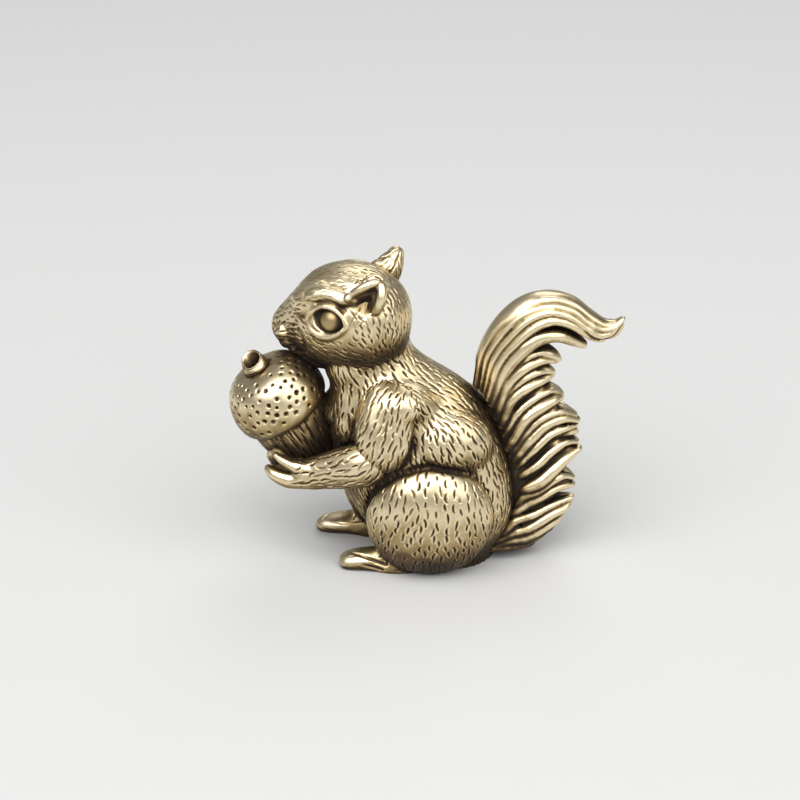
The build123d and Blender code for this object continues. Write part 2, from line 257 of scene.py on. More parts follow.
# Head: its own frame, with x towards the nape
head = {"centre": (-7.99, 0.0, 29.5), "turn": 18.0}
headX = np.array([math.cos(math.radians(head["turn"])), -math.sin(math.radians(head["turn"])), 0])
headY = np.array([-headX[1], headX[0], 0])


def onHead(along, across, up):  # a place in the head's frame
    return np.array(head["centre"]) + headX * along + headY * across + np.array([0, 0, up])


def toHead(places):
    d = np.atleast_2d(places) - np.array(head["centre"])
    return np.stack([d @ headX, d @ headY, d[:, 2]], 1)


def mirrored(places):  # from the head's left side to its right
    return np.array([onHead(a, -b, c) for a, b, c in toHead(places)])


def skinOf(node):
    data = frame["nodes"][node].data
    return BVHTree.FromPolygons([v.co for v in data.vertices], [tuple(p.vertices) for p in data.polygons])


headSkins = [skinOf(node) for node in ("head", "eye_left")]


def seenOn(skins, px, py, lift):  # where a pixel of the photograph meets these skins, lifted to the viewer
    viewer = np.array(studio["target"]) - sight * studio["distance"]
    way = fromPhoto(px, py, 0) - viewer
    way /= np.linalg.norm(way)
    hits = [skin.ray_cast(Vector(viewer * mm), Vector(way))[3] for skin in skins]
    hits = [hit / mm for hit in hits if hit]
    return viewer + way * (min(hits) - lift) if hits else fromPhoto(px, py, -3)


def seenOnHead(px, py, lift=0.0):
    return seenOn(headSkins, px, py, lift)


# Clay: copies of the body's nodes, with lumps for face, ears and paws, all grown together
bodyNodes = ["torso", "head"]
for sideName in sideSigns:
    bodyNodes += [f"{part}_{sideName}" for part in ("ear", "arm", "paw", "haunch", "foot")]
clay = {"voxel": 0.122, "swell": 0.08, "give": 0.5, "settle": 3, "softRounds": 300}
face = {  # pixels of the photograph, some with the lift from the skin; the right side is the mirror image
    "brow": ((303, 301, -0.7), (312, 296, -0.7), (324, 294.5, -0.8), (336, 296, -0.8), (347, 299, -0.6)),
    "browRadii": (0.5, 0.85, 1.0, 1.0, 0.8),
    "lidUp": ((307, 321), (312, 312.5), (319, 308), (326, 306.5), (334, 309.5), (341, 317.5), (347, 327)),
    "lidUpRadii": (0.26, 0.46, 0.58, 0.62, 0.58, 0.46, 0.26),
    "lidLow": ((308, 323), (312, 330.5), (319, 335.5), (327, 337), (335, 335), (342, 331), (347, 327)),
    "lidLowRadii": (0.24, 0.34, 0.42, 0.44, 0.42, 0.36, 0.24),
    "pads": ((285, 331, -0.8, 1.25), (288, 339, -0.6, 1.05), (296, 347, -0.8, 0.9)),
    "pupil": (326.5, 321.5), "half": (1.80, 1.38), "bowl": 0.7, "reach": 1.6, "radius": 1.9,
}
ear = {  # pixels of the photograph, with the lift from the head's skin or the place across
    "rim": ((346, 300, 0.2), (355, 292.5, 1.4), (367, 286, 2.3), (376.5, 283.5, 2.7), (381.5, 288, 2.6),
            (381, 300, 2.0), (375.5, 314, 0.7)),
    "rimRadii": (0.4, 0.5, 0.56, 0.56, 0.6, 0.62, 0.5), "deep": (366, 304), "wall": 0.25, "dig": 0.5,
    "close": (361, 311, -1.0), "calm": (367, 299, 1.2),
    "backFrom": 1.1, "backFoot": -0.5, "backRadii": (0.4, 0.42, 0.45),
    "root": (371, 294, 0.3), "behind": 1.3, "rootRadii": (1.6, 0.9, 1.9),
    "far": ((382, 281, 3.0), (388.5, 268, 3.6), (393, 260, 3.9), (395.5, 255.0, 4.0)),
    "farRadii": (1.75, 1.68, 1.45, 1.05), "farBase": (380, 270, 3.2), "farBaseRadii": (1.3, 1.0, 1.3),
}
paw = {  # pixels of the photograph, with the place across
    "thumb": ((274, 454, -4.3), (282, 460.5, -4.8), (292, 466, -5.0), (306, 470, -5.0), (324, 472, -4.8)),
    "thumbRadii": (0.3, 0.5, 0.62, 0.75, 0.8), "lift": 0.3,
    "fingers": ((266.5, 466, -3.0), (273, 473, -3.8), (283, 478, -4.3), (297, 481, -4.8), (313, 480, -5.1),
                (330, 476, -5.3)),
    "fingersRadii": (0.4, 0.72, 0.92, 1.1, 1.2, 1.2),
}
lumpsOfClay = (  # node, place and half sizes of what fills the casting out
    ("torso", (-8.5, -0.4, 23.8), (3.0, 4.3, 3.0)),  # throat
    ("head", (-11.5, 0.8, 25.2), (3.4, 2.5, 2.2)),  # jaw
    ("torso", (-8.3, 0.0, 21.0), (2.6, 4.5, 4.5)), ("torso", (-8.7, 0.0, 18.0), (2.6, 5.0, 6.0)),  # chest
    ("torso", (-10.3, 0.0, 18.4), (1.7, 3.5, 2.0)),  # where the nut touches it
    ("torso", (2.4, -4.3, 16.0), (5.2, 3.7, 4.0)), ("torso", (2.4, 4.3, 16.0), (5.2, 3.7, 4.0)),  # flanks
    ("foot_left", (-7.1, -4.0, 1.0), (3.3, 1.9, 1.2)), ("foot_right", (-10.1, 5.1, 1.0), (3.3, 1.9, 1.2)),
)
shoulder = {"place": (-3.0, 4.6, 20.7), "half": (4.2, 3.0, 2.4)}  # one on each side
browLump = {"place": (-2.2, 2.6, 2.4), "half": (4.2, 2.45, 2.75)}  # in the head's frame, one on each side
nose = {"place": (-8.8, 0.0, -2.0), "half": (1.0, 1.2, 1.0)}  # in the head's frame


def earCup(loop, deep):
    rings = [deep + (loop - deep) * s for s in (1, 0.7, 0.4)]
    verts = np.vstack([*rings, deep[None]]) * mm
    n = len(loop)
    faces = [(r * n + i, r * n + (i + 1) % n, (r + 1) * n + (i + 1) % n, (r + 1) * n + i)
             for r in range(2) for i in range(n)]
    faces += [(2 * n + i, 2 * n + (i + 1) % n, 3 * n) for i in range(n)]
    cup = bpy.data.meshes.new("earCup")
    cup.from_pydata(verts.tolist(), [], faces)
    cup = link("earCup", cup)
    finish(cup, "SOLIDIFY", thickness=ear["wall"] * 2 * mm, offset=0)
    return cup


def faceLumps():
    lumps = [blob(place, radii) for _, place, radii in lumpsOfClay]
    lumps.append(blob(onHead(*nose["place"]), nose["half"]))
    lumps += [blob(np.array(shoulder["place"]) * (1, side, 1), shoulder["half"]) for side in sideSigns.values()]
    along, across, up = browLump["place"]
    lumps += [blob(onHead(along, side * across, up), browLump["half"]) for side in sideSigns.values()]
    bars = []
    for key in ("brow", "lidUp", "lidLow"):
        path = smoothPath([seenOnHead(*p) for p in face[key]], 6)
        radii = spread(face[key + "Radii"], len(path)) * mm
        bars += [(path * mm, radii), (mirrored(path) * mm, radii)]
    thumb, fingers = (smoothPath([fromPhoto(*p) for p in paw[key]], 6) for key in ("thumb", "fingers"))
    for path, key in ((thumb, "thumbRadii"), (fingers, "fingersRadii")):
        radii = spread(paw[key], len(path)) * mm
        bars += [(path * mm, radii), (path * np.array([1, -1, 1]) * mm, radii)]
    rimKnots = smoothPath(ear["rim"], 6)
    rim = np.array([seenOnHead(*p) for p in rimKnots])
    bars.append((rim * mm, spread(ear["rimRadii"], len(rim)) * mm))
    for (px, py, lift), edge in zip(rimKnots, rim):
        if lift > ear["backFrom"]:  # the ear's back, down to the head
            foot = seenOnHead(px, py, ear["backFoot"])
            bars.append((np.array([edge, (edge + foot) / 2, foot]) * mm, np.array(ear["backRadii"]) * mm))
    lumps.append(earCup(np.vstack([rim, seenOnHead(*ear["close"])]), seenOnHead(*ear["deep"])))
    lumps.append(blob(seenOnHead(*ear["root"]) + headY * ear["behind"], ear["rootRadii"]))
    far = smoothPath([fromPhoto(*p) for p in ear["far"]], 6)
    bars.append(rounded(far * mm, spread(ear["farRadii"], len(far)) * mm))
    lumps.append(blob(fromPhoto(*ear["farBase"]), ear["farBaseRadii"]))
    for px, py, lift, r in face["pads"]:
        place = seenOnHead(px, py, lift)
        lumps += [blob(place, np.full(3, r)), blob(mirrored(place)[0], np.full(3, r))]
    return lumps + [tubes("bars", bars)]


moulds = [node for node in bodyNodes if "ear" not in node] + ["eye_left", "eye_right"]
copies = [copyNode(node, "clay_" + node, clay["swell"]) for node in moulds]
for node, obj in zip(moulds, copies):
    if node.startswith("paw"):
        writePoints(obj.data, readPoints(obj.data) + np.array([0, 0, paw["lift"] * mm]))
lumps = faceLumps()
lumpPoints = [readPoints(obj.data) for obj in lumps[: len(lumpsOfClay)]]
bodyClay = joined(copies + lumps)
bodyClay = remeshed(bodyClay, clay["voxel"])
mesh = bodyClay.data
print("clay:", len(mesh.vertices), "points")

# Which node each point of the clay belongs to
nodePoints = [readPoints(frame["nodes"][node].data) for node in bodyNodes] + lumpPoints
owners = np.array([*range(len(bodyNodes)), *(bodyNodes.index(lump[0]) for lump in lumpsOfClay)])
owners = np.repeat(owners, [len(p) for p in nodePoints])
nodeTree = treeOf(np.vstack(nodePoints))
points = readPoints(mesh)
edges = readEdges(mesh)
shares = np.eye(len(bodyNodes))[[owners[nodeTree.find(p)[1]] for p in points]]
for _ in range(10):
    shares = 0.5 * shares + 0.5 * averaged(shares, edges)
owner = shares.argmax(1)
kinds = {part: shares[:, [node.startswith(part) for node in bodyNodes]] for part in ("torso", "haunch", "arm")}
for _ in range(25):
    kinds = {part: 0.5 * share + 0.5 * averaged(share, edges) for part, share in kinds.items()}
kinds = {part: share.sum(1) for part, share in kinds.items()}
print("owners found")

# Soft places: where the casting flows from one form into the next
softSpots = (
    ((-4.0, 0, 24.8), 8.0, 1.0),  # neck
    ((-4.0, -6.0, 22.2), 5.0, 1.0), ((-4.0, 6.0, 22.2), 5.0, 1.0),  # shoulders
    ((-0.8, -6.4, 20.4), 4.6, 1.0), ((-0.8, 6.4, 20.4), 4.6, 1.0),
    ((6.0, -6.4, 17.0), 5.0, 1.0), ((6.0, 6.4, 17.0), 5.0, 1.0),  # flanks
    ((-8.5, -3.5, 21.5), 4.5, 1.0), ((-8.5, 3.5, 21.5), 4.5, 1.0),  # chest
    ((-13.2, -5.0, 11.0), 2.8, 0.9), ((-13.2, 5.4, 12.0), 2.8, 0.9),  # wrists
    ((-8.0, -4.0, 1.0), 4.5, 0.6), ((-11.0, 5.0, 1.0), 4.5, 0.6),  # toes
)
soft = np.zeros(len(points))
for place, reach, strength in softSpots:
    distance = np.linalg.norm(points / mm - np.array(place), axis=1)
    soft = np.maximum(soft, strength * (1 - smoothStep(0.4 * reach, reach, distance)))
points = relaxedThere(points, edges, soft * clay["give"], clay["softRounds"])
points = relaxed(points, edges, np.full(len(points), clay["give"]), clay["settle"])

# Folds: over the haunches and behind the arms
folds = {"haunch": 0.40, "arm": 0.45, "haunchEnds": (3.0, 7.0), "armEnds": (16.5, 20.0), "armFuller": 0.2}
writePoints(mesh, points)
haunchFades = 1 - 0.8 * smoothStep(*folds["haunchEnds"], points[:, 0] / mm)
armFades = 1 - smoothStep(*folds["armEnds"], points[:, 2] / mm)
fold = 4 * kinds["torso"] * kinds["haunch"] * folds["haunch"] * haunchFades
fold += 4 * kinds["torso"] * kinds["arm"] * folds["arm"] * armFades
fold += 4 * kinds["haunch"] * kinds["arm"] * folds["haunch"]
points = points + readNormals(mesh) * ((kinds["arm"] * folds["armFuller"] - fold) * mm)[:, None]

# Eyes: each has its place and its ways outward, forward and up
eyeFrames = {}
for name, side in sideSigns.items():
    centre = seenOnHead(*face["pupil"])
    if side > 0:
        centre = mirrored(centre)[0]
    outward = headX * -0.23 + headY * side * 0.95 + np.array([0, 0, 0.2])
    outward /= np.linalg.norm(outward)
    upward = np.array([0, 0, 1]) - outward * outward[2]
    upward /= np.linalg.norm(upward)
    eyeFrames[name] = (centre, outward, -headX + outward * (outward @ headX), upward)
eyeRing = np.full(len(points), 9.0)  # 1 at the edge of an eye's opening
for centre, outward, forward, upward in eyeFrames.values():
    d = points / mm - centre
    near = np.abs(d @ outward) < face["reach"]
    ring = np.sqrt((d @ forward / face["half"][0]) ** 2 + (d @ upward / face["half"][1]) ** 2)
    eyeRing = np.minimum(eyeRing, np.where(near, ring, 9))
    bowl = face["bowl"] * (1 - smoothStep(0.7, 1.08, ring))
    points -= outward * (bowl * near * mm)[:, None]
farMiddle = fromPhoto(*ear["far"][1]) + headY * 1.4
for deep, way in ((seenOnHead(*ear["deep"]), headY), (farMiddle, -headY)):
    dig = ear["dig"] * (1 - smoothStep(0.5, 1.5, np.linalg.norm(points / mm - deep, axis=1)))
    points += way * (dig * mm)[:, None]
writePoints(mesh, points)

# Cut lines of the face and paws: mouth, cheeks, whisker pads, hollows over the eyes, gaps of the fingers
cutLines = (  # pixels of the photograph, half width and depth
    (((286, 346), (294, 349), (303, 350.5), (311, 356)), 0.28, 0.5),
    (((299, 331), (303, 339), (305, 348)), 0.5, 0.22),
    (((285, 323), (298, 325)), 0.13, 0.13), (((283, 328), (299, 330)), 0.13, 0.13),
    (((285, 333), (298, 335)), 0.13, 0.13),
    (((304, 316), (308, 309), (315, 304), (326, 302), (337, 304.5), (344, 311)), 0.4, 0.15),
    (((275.5, 326), (277, 328)), 0.25, 0.3),
)


def cutPath(points, path, width, depth):
    path = np.array(path)
    tree = treeOf(path)
    near = np.flatnonzero(np.linalg.norm(points / mm - path.mean(0), axis=1) < np.ptp(path, axis=0).max() + 2 * width)
    cut = np.zeros(len(points))
    for i in near:
        off = tree.find(points[i] / mm)[2] / width
        cut[i] = depth * max(0, 1 - off * off) ** 1.5
    return cut


normals = readNormals(mesh)
cuts = np.zeros(len(points))
for knots, width, depth in cutLines:
    path = np.array([seenOnHead(*p) for p in smoothPath(knots, 12)])
    for line in (path, mirrored(path)):
        cuts = np.maximum(cuts, cutPath(points, line, width + 0.12, depth))
footSkins = [skinOf("foot_left")]
toes = {  # pixels of the photograph; half width, depth and the way to the right foot in millimetres
    "lines": (((343, 559), (352, 561), (366, 565), (382, 570)), ((348, 553), (358, 555), (370, 559), (386, 565))),
    "width": 0.28, "depth": 0.2, "toRight": (-3.0, 0.8, 0),
}
for knots in toes["lines"]:
    path = np.array([seenOn(footSkins, *p, 0) for p in smoothPath(knots, 12)])
    for line in (path, path * np.array([1, -1, 1]) + np.array(toes["toRight"])):
        cuts = np.maximum(cuts, cutPath(points, line, toes["width"], toes["depth"]))
points -= normals * (cuts * mm)[:, None]
writePoints(mesh, points)
print("face cut")

# Fur: short cut strokes that follow the lie of the coat
furGuides = {  # place and way of the coat on the left side, in millimetres
    "torso": (
        ((-4, -4, 24), (0.5, 0, -0.85)), ((2, -4, 22), (0.75, 0, -0.65)), ((6, -4, 17), (0.55, 0, -0.83)),
        ((8.5, -4, 11), (0.2, 0, -1)), ((8.5, -4, 4), (-0.2, 0, -1)), ((0, -7.5, 17), (0.35, 0, -0.94)),
        ((2, -8, 12), (0.3, 0, -0.95)), ((-8, -4, 18), (-0.1, 0, -1)), ((-9, -3, 8), (0.3, 0, -0.95)),
    ),
    "haunch": (
        ((0, -8, 13), (0, -0.6, -0.8)), ((-4, -9, 8), (-0.25, 0, -1)), ((3, -9.5, 7), (0.1, 0, -1)),
        ((6, -8, 6), (0.3, 0, -1)), ((0, -9, 3), (0, 0.3, -1)),
    ),
    "arm": (
        ((-4.5, -6.5, 21), (-0.15, 0, -1)), ((-4.6, -8, 16), (-0.3, 0, -0.95)),
        ((-8, -6.5, 13.5), (-0.93, 0.2, -0.3)), ((-12, -5, 12.3), (-0.93, 0.2, -0.3)),
    ),
    "head": (  # in the head's frame
        ((-8, 0, -1.5), (1, 0, 0.4)), ((-4, -2, 4.5), (0.9, 0, 0.45)), ((1, -2, 5.8), (1, 0, 0)),
        ((5.5, -2, 1), (0.1, 0, -1)), ((-3, -5, -2), (0.9, 0, -0.45)), ((0, -4.5, -4), (0.85, 0, -0.5)),
        ((4, -4, 2), (0.3, 0, -0.95)),
    ),
    "ear": (((-5, -5, 34), (-0.54, 0, -0.84)),),
    "foot": (((-6, -4, 1), (-1, 0, 0)),),
}
furCuts = {  # gap, length, half width and depth of the strokes, in millimetres
    "torso": (0.72, 1.35, 0.17, 0.17), "haunch": (0.86, 1.2, 0.17, 0.17), "arm": (0.74, 1.5, 0.16, 0.14),
    "head": (0.62, 1.0, 0.15, 0.12), "ear": (0.62, 2.0, 0.13, 0.10), "foot": (1.6, 1.6, 0.16, 0.04),
}


def coatWay(part, places, normals):  # the lie of the coat at some points
    local = toHead(places / mm) if part == "head" else places / mm
    flip = np.sign(local[:, 1:2] + 1e-9)
    local = np.concatenate([local[:, :1], -np.abs(local[:, 1:2]), local[:, 2:]], 1)
    way = np.zeros_like(local)
    for place, lie in furGuides[part]:
        weight = 1 / (np.sum((local - np.array(place)) ** 2, axis=1) + 0.5) ** 1.5
        way += weight[:, None] * np.array(lie) / np.linalg.norm(lie)
    way[:, 1:2] *= -flip
    if part == "head":
        way = way[:, :1] * headX + way[:, 1:2] * headY + way[:, 2:] * np.array([0, 0, 1])
    way -= normals * np.sum(way * normals, axis=1)[:, None]
    return way / np.maximum(np.linalg.norm(way, axis=1), 1e-9)[:, None]


def cutFur(points, normals, owner, calm):
    groove, lip = np.zeros(len(points)), np.zeros(len(points))
    tree = treeOf(points)
    for part, (gap, length, width, depth) in furCuts.items():
        nodes = [k for k, node in enumerate(bodyNodes) if node.split("_")[0] == part]
        members = np.flatnonzero(np.isin(owner, nodes))
        seeds = members[scattered(points[members], gap * mm)]
        ways = coatWay(part, points[seeds], normals[seeds])
        for seed, way in zip(seeds, ways):
            size, lean, bend = chance.uniform(0.6, 1.25), chance.normal(0, 0.15), chance.normal(0, 0.12)
            deep = chance.uniform(0.5, 1.1) * depth * (1 - calm[seed])
            if deep < 0.02:
                continue
            normal = normals[seed]
            way = way * math.cos(lean) + np.cross(normal, way) * math.sin(lean)
            across = np.cross(normal, way)
            half = length * size / 2
            found = np.array([i for _, i, _ in tree.find_range(points[seed], (half + 2 * width) * mm)])
            d = (points[found] - points[seed]) / mm
            s = d @ way / half
            taper = np.sqrt(np.clip(1 - s**2, 0, 1))
            off = (d @ across - bend * (s**2 - 0.4)) / (width * taper + 1e-6)
            there = (normals[found] @ normal > 0.3) & (np.abs(d @ normal) < 0.6)
            groove[found] = np.maximum(groove[found], deep * np.clip(1 - off**2, 0, 1) * taper * there)
            lip[found] = np.maximum(lip[found], 0.15 * deep * np.clip(1 - (off / 3) ** 2, 0, 1) * taper * there)
    return groove, lip


normals = readNormals(mesh)
local = toHead(points / mm)
isHead = owner == bodyNodes.index("head")
calm = 1 - smoothStep(1.45, 1.9, eyeRing)  # 1 where no fur is cut
calm = np.maximum(calm, isHead * 0.6 * smoothStep(2.0, 4.0, local[:, 2]) * (1 - smoothStep(-1, 3, local[:, 0])))
calm = np.maximum(calm, 1 - smoothStep(2.1, 2.5, np.linalg.norm(points / mm - seenOnHead(*ear["calm"]), axis=1)))
groove, lip = cutFur(points, normals, owner, calm)
points += normals * ((lip - groove * 1.25) * mm)[:, None]
points[:, 2] = np.maximum(points[:, 2], 0)
writePoints(mesh, points)
# painted shade: the opening round each eyeball is darkened
eyeOpeningShade = 1 - smoothStep(0.86, 1.0, eyeRing)
darkened = {"fur": 0.28, "cuts": 1.2, "creases": 0.6, "eyes": 0.8, "cheeks": 0.3}  # the fur's is its full depth
low = isHead * (1 - smoothStep(-3.5, 0.5, local[:, 2]))  # painted shade: the cheeks and jaw, low on the head, are darkened
# dark patina in the fur strokes, cuts and creases, with painted shade in the eye openings and on the cheeks
patinaAndShade = groove / darkened["fur"] + cuts * darkened["cuts"] + darkened["creases"] * hollowness(mesh, 6, 0.06)
writeValues(mesh, "patinaAndShade", patinaAndShade + darkened["eyes"] * eyeOpeningShade + darkened["cheeks"] * low)
print("fur cut")

# Tail: a core with long ridges that sweep from the back to the tips of the locks
tail = {
    "voxel": 0.135, "corner": (465.0, 275.0), "grid": 0.25, "core": 0.8, "root": 0.6,
    "web": 1.1, "webReach": 0.72, "webDepth": 0.5, "middle": 1.3, "creases": 1.2, "rootShade": 0.45,
    "depths": (2.2, 2.5, 2.5, 2.1, 1.4, 0.4), "tip": (1.0, 1.0, 1.0, 0.8, 0.25),
    "sizes": (0.6, 0.9, 1.05, 1.1, 1.0, 0.84, 0.52),
    "curl": (  # quarter pixels of the photograph from the corner; widest half width and depth
        (((56, 400), (78, 300), (142, 205), (238, 132), (332, 102), (428, 120), (500, 170),
          (556, 202), (604, 198), (632, 178)), 0.50, 1.0),
        (((76, 410), (98, 316), (160, 226), (246, 158), (340, 128), (428, 146), (492, 192),
          (546, 220), (598, 212), (628, 188)), 0.44, 1.65),
        (((92, 430), (118, 336), (178, 256), (254, 186), (340, 154), (420, 172), (484, 214),
          (536, 242), (584, 234), (612, 206)), 0.44, 2.15),
        (((108, 450), (138, 358), (196, 286), (272, 218), (350, 186), (420, 200), (472, 230),
          (516, 256), (552, 262)), 0.48, 2.5),
        (((124, 475), (156, 392), (214, 316), (290, 258), (370, 244), (432, 264), (474, 282)),
         0.80, 2.3),
    ),
    "locks": (
        (((134, 510), (162, 415), (222, 348), (300, 312), (366, 316)), 0.46),
        (((142, 525), (174, 434), (234, 376), (302, 346), (370, 342)), 0.60),
        (((150, 545), (178, 468), (238, 416), (300, 390), (340, 390)), 0.42),
        (((158, 570), (186, 502), (244, 454), (300, 428), (346, 406)), 0.62),
        (((176, 610), (214, 550), (272, 500), (330, 468), (374, 460)), 0.46),
        (((196, 655), (244, 578), (302, 532), (356, 502), (384, 490)), 0.68),
        (((206, 690), (252, 624), (312, 574), (380, 550), (442, 560)), 0.46),
        (((220, 710), (264, 656), (322, 602), (390, 576), (450, 582)), 0.64),
        (((236, 740), (284, 692), (340, 640), (398, 616), (444, 602)), 0.46),
        (((246, 790), (294, 758), (345, 708), (398, 672), (448, 666)), 0.50),
        (((254, 850), (304, 824), (354, 778), (405, 732), (454, 698)), 0.74),
        (((214, 915), (240, 885), (290, 864), (350, 824), (394, 804), (432, 810)), 0.50),
        (((206, 945), (240, 920), (304, 888), (370, 852), (432, 840)), 0.54),
        (((160, 1030), (200, 985), (272, 960), (352, 920), (426, 890)), 0.56),
        (((140, 1060), (190, 1032), (262, 1010), (342, 962), (398, 932), (422, 908)), 0.56),
        (((130, 1082), (180, 1062), (250, 1048), (320, 1010), (370, 974), (390, 952)), 0.56),
        (((120, 1092), (170, 1085), (230, 1074), (292, 1044), (342, 1008)), 0.55),
    ),
}


def ridge(knots, wide, depths, web):  # a bar on each side of the tail, one between them and a web under them
    knots = np.array(knots, float)
    knots = np.vstack([knots[0] + (knots[0] - knots[1]) * tail["root"], knots])
    flat = smoothPath(np.array(tail["corner"]) + knots * tail["grid"], 8)
    radii = spread(tail["sizes"], len(flat)) * wide
    path = np.array([fromPhoto(*p, -y) for p, y in zip(flat, spread(depths, len(flat)))])
    bars = [rounded(path * np.array([1, 0, 1]) * mm, radii * tail["middle"] * mm)]
    for side in sideSigns.values():
        bars.append(rounded(path * np.array([1, side, 1]) * mm, radii * mm))
        if web:
            under = path[: int(len(path) * tail["webReach"])] * np.array([1, side * tail["webDepth"], 1])
            bars.append(rounded(under * mm, np.full(len(under), web) * mm))
    return bars


def tailClay():
    bars = []
    for knots, wide, deep in tail["curl"]:
        bars += ridge(knots, wide, np.array(tail["tip"]) * deep, 0)
    for knots, wide in tail["locks"]:
        bars += ridge(knots, wide, tail["depths"], tail["web"])
    core = copyNode("tail", "tailCore", 0)
    writePoints(core.data, readPoints(core.data) * np.array([1, tail["core"], 1]))
    obj = remeshed(joined([tubes("tailCast", bars), core]), tail["voxel"])
    mesh = obj.data
    points = readPoints(mesh)
    points[:, 2] = np.maximum(points[:, 2], 0)
    writePoints(mesh, relaxed(points, readEdges(mesh), np.full(len(points), 0.5), 2))
    backTree = treeOf(readPoints(frame["nodes"]["torso"].data))
    off = np.array([backTree.find(p)[2] for p in points]) / mm
    # painted shade: the tail is darker where it lies close to the back
    tailRootShade = tail["rootShade"] * (1 - smoothStep(0.5, 6.5, off))
    writeValues(mesh, "patinaAndShade", tail["creases"] * hollowness(mesh, 12, 0.07) + tailRootShade)
    print("tail:", len(mesh.vertices), "points")
    return obj


tailCast = tailClay()
tailCast.name = "tailCast"

# Acorn: remeshed copies of its nodes, the cap pitted and the nut grooved
acorn = {
    "origin": (-16.352, 0.0, 18.7), "axis": (-0.49523, -0.13784, 0.85776), "voxel": 0.1,
    "pitGap": 0.88, "pitRadius": 0.23, "pitDepth": 0.26, "belly": 0.06, "tuck": 0.05,
    "grooveGap": 0.85, "grooveWidth": 0.14, "grooveDepth": 0.24,
    "stemFoot": 0.25, "stemMouth": 0.28, "stemSlope": 0.5,
}
acornAxis = np.array(acorn["axis"])
acornOrigin = np.array(acorn["origin"])


def aroundAxis(points):  # how far along the acorn's axis, the way out from it and how far out
    along = (points / mm - acornOrigin) @ acornAxis
    out = points / mm - acornOrigin - np.outer(along, acornAxis)
    return along, out, np.linalg.norm(out, axis=1)


def acornClay(node, settle):
    obj = remeshed(copyNode(node, node.replace("acorn_", "") + "Cast", 0), acorn["voxel"])
    mesh = obj.data
    points = relaxed(readPoints(mesh), readEdges(mesh), np.full(len(mesh.vertices), 0.5), settle)
    writePoints(mesh, points)
    return obj, points


capCast, points = acornClay("acorn_cap", 14)
along, out, radial = aroundAxis(points)
rise = (along - along.min()) / np.ptp(along)
swell = acorn["belly"] * np.sin(np.pi * rise) - acorn["tuck"] * (1 - smoothStep(0, 0.4, rise))
points += out * (swell * smoothStep(2.0, 4.0, radial) * mm)[:, None]
writePoints(capCast.data, points)
normals = readNormals(capCast.data)
outside = np.flatnonzero((normals @ acornAxis > -0.15) & (radial > 2.7))
pit = np.zeros(len(points))
for seed in outside[scattered(points[outside], acorn["pitGap"] * mm)]:
    size = acorn["pitRadius"] * chance.uniform(0.7, 1.2)
    d = np.linalg.norm(points - points[seed], axis=1) / mm
    pit = np.maximum(pit, chance.uniform(0.6, 1.1) * np.exp(-(d / size) ** 4))
points -= normals * (pit * acorn["pitDepth"] * mm)[:, None]
writePoints(capCast.data, points)
writeValues(capCast.data, "patinaAndShade", pit + 0.3 * hollowness(capCast.data, 6, 0.05))

nutCast, points = acornClay("acorn_nut", 4)
normals = readNormals(nutCast.data)
groove = np.zeros(len(points))
for seed in scattered(points, acorn["grooveGap"] * mm):
    way = -acornAxis + normals[seed] * (normals[seed] @ acornAxis)
    way /= max(np.linalg.norm(way), 1e-6)
    across = np.cross(normals[seed], way)
    half = chance.uniform(0.7, 1.5)
    d = (points - points[seed]) / mm
    s = d @ way / half
    taper = np.sqrt(np.clip(1 - s**2, 0, 1))
    off = d @ across / (acorn["grooveWidth"] * taper + 1e-6)
    cut = np.clip(1 - off**2, 0, 1) * taper * (np.abs(d @ normals[seed]) < 0.5)
    groove = np.maximum(groove, cut * chance.uniform(0.5, 1))
points -= normals * (groove * acorn["grooveDepth"] * mm)[:, None]
writePoints(nutCast.data, points)
writeValues(nutCast.data, "patinaAndShade", groove + 0.3 * hollowness(nutCast.data, 6, 0.05))

stemCast, points = acornClay("acorn_stem", 5)
along, out, radial = aroundAxis(points)
wider = acorn["stemFoot"] * smoothStep(0.95, 1.15, radial) * (1 - smoothStep(5.7, 6.9, along))  # a foot on the cap
wider += acorn["stemMouth"] * (1 - smoothStep(0.9, 1.15, radial)) * smoothStep(5.9, 6.9, along)  # an open mouth
points += out / np.maximum(radial, 0.1)[:, None] * (wider * mm)[:, None]
slope = acorn["stemSlope"] * out[:, 1] * smoothStep(6.0, 6.9, along)  # its rim slopes to the side
points += np.outer(slope, acornAxis) * mm
writePoints(stemCast.data, points)
writeValues(stemCast.data, "patinaAndShade", 0.3 * hollowness(stemCast.data, 6, 0.05))
print("acorn made")

# Eyeballs
eyeCasts = {}
for name, (centre, outward, forward, upward) in eyeFrames.items():
    eyeCasts[name] = blob(centre - outward * face["radius"], np.full(3, face["radius"]))
    eyeCasts[name].name = f"eye{name.title()}Cast"
    # painted shade: each eyeball is darker towards its edge, where it sinks under the lids
    facing = readNormals(eyeCasts[name].data) @ outward
    writeValues(eyeCasts[name].data, "patinaAndShade", 1 - smoothStep(0.66, 0.93, facing))
print("eyes made")

# Painted shade: how far each place is closed in by what is round it, put into the colour as the shade that falls
# there, with more on surfaces that face down
shadeRays = {"cell": 0.5 * mm, "reach": 5.0 * mm, "rays": 28, "turn": 2.39996, "under": 0.45, "onEyes": 0.3}
casts = [bodyClay, tailCast, capCast, nutCast, stemCast, *eyeCasts.values()]


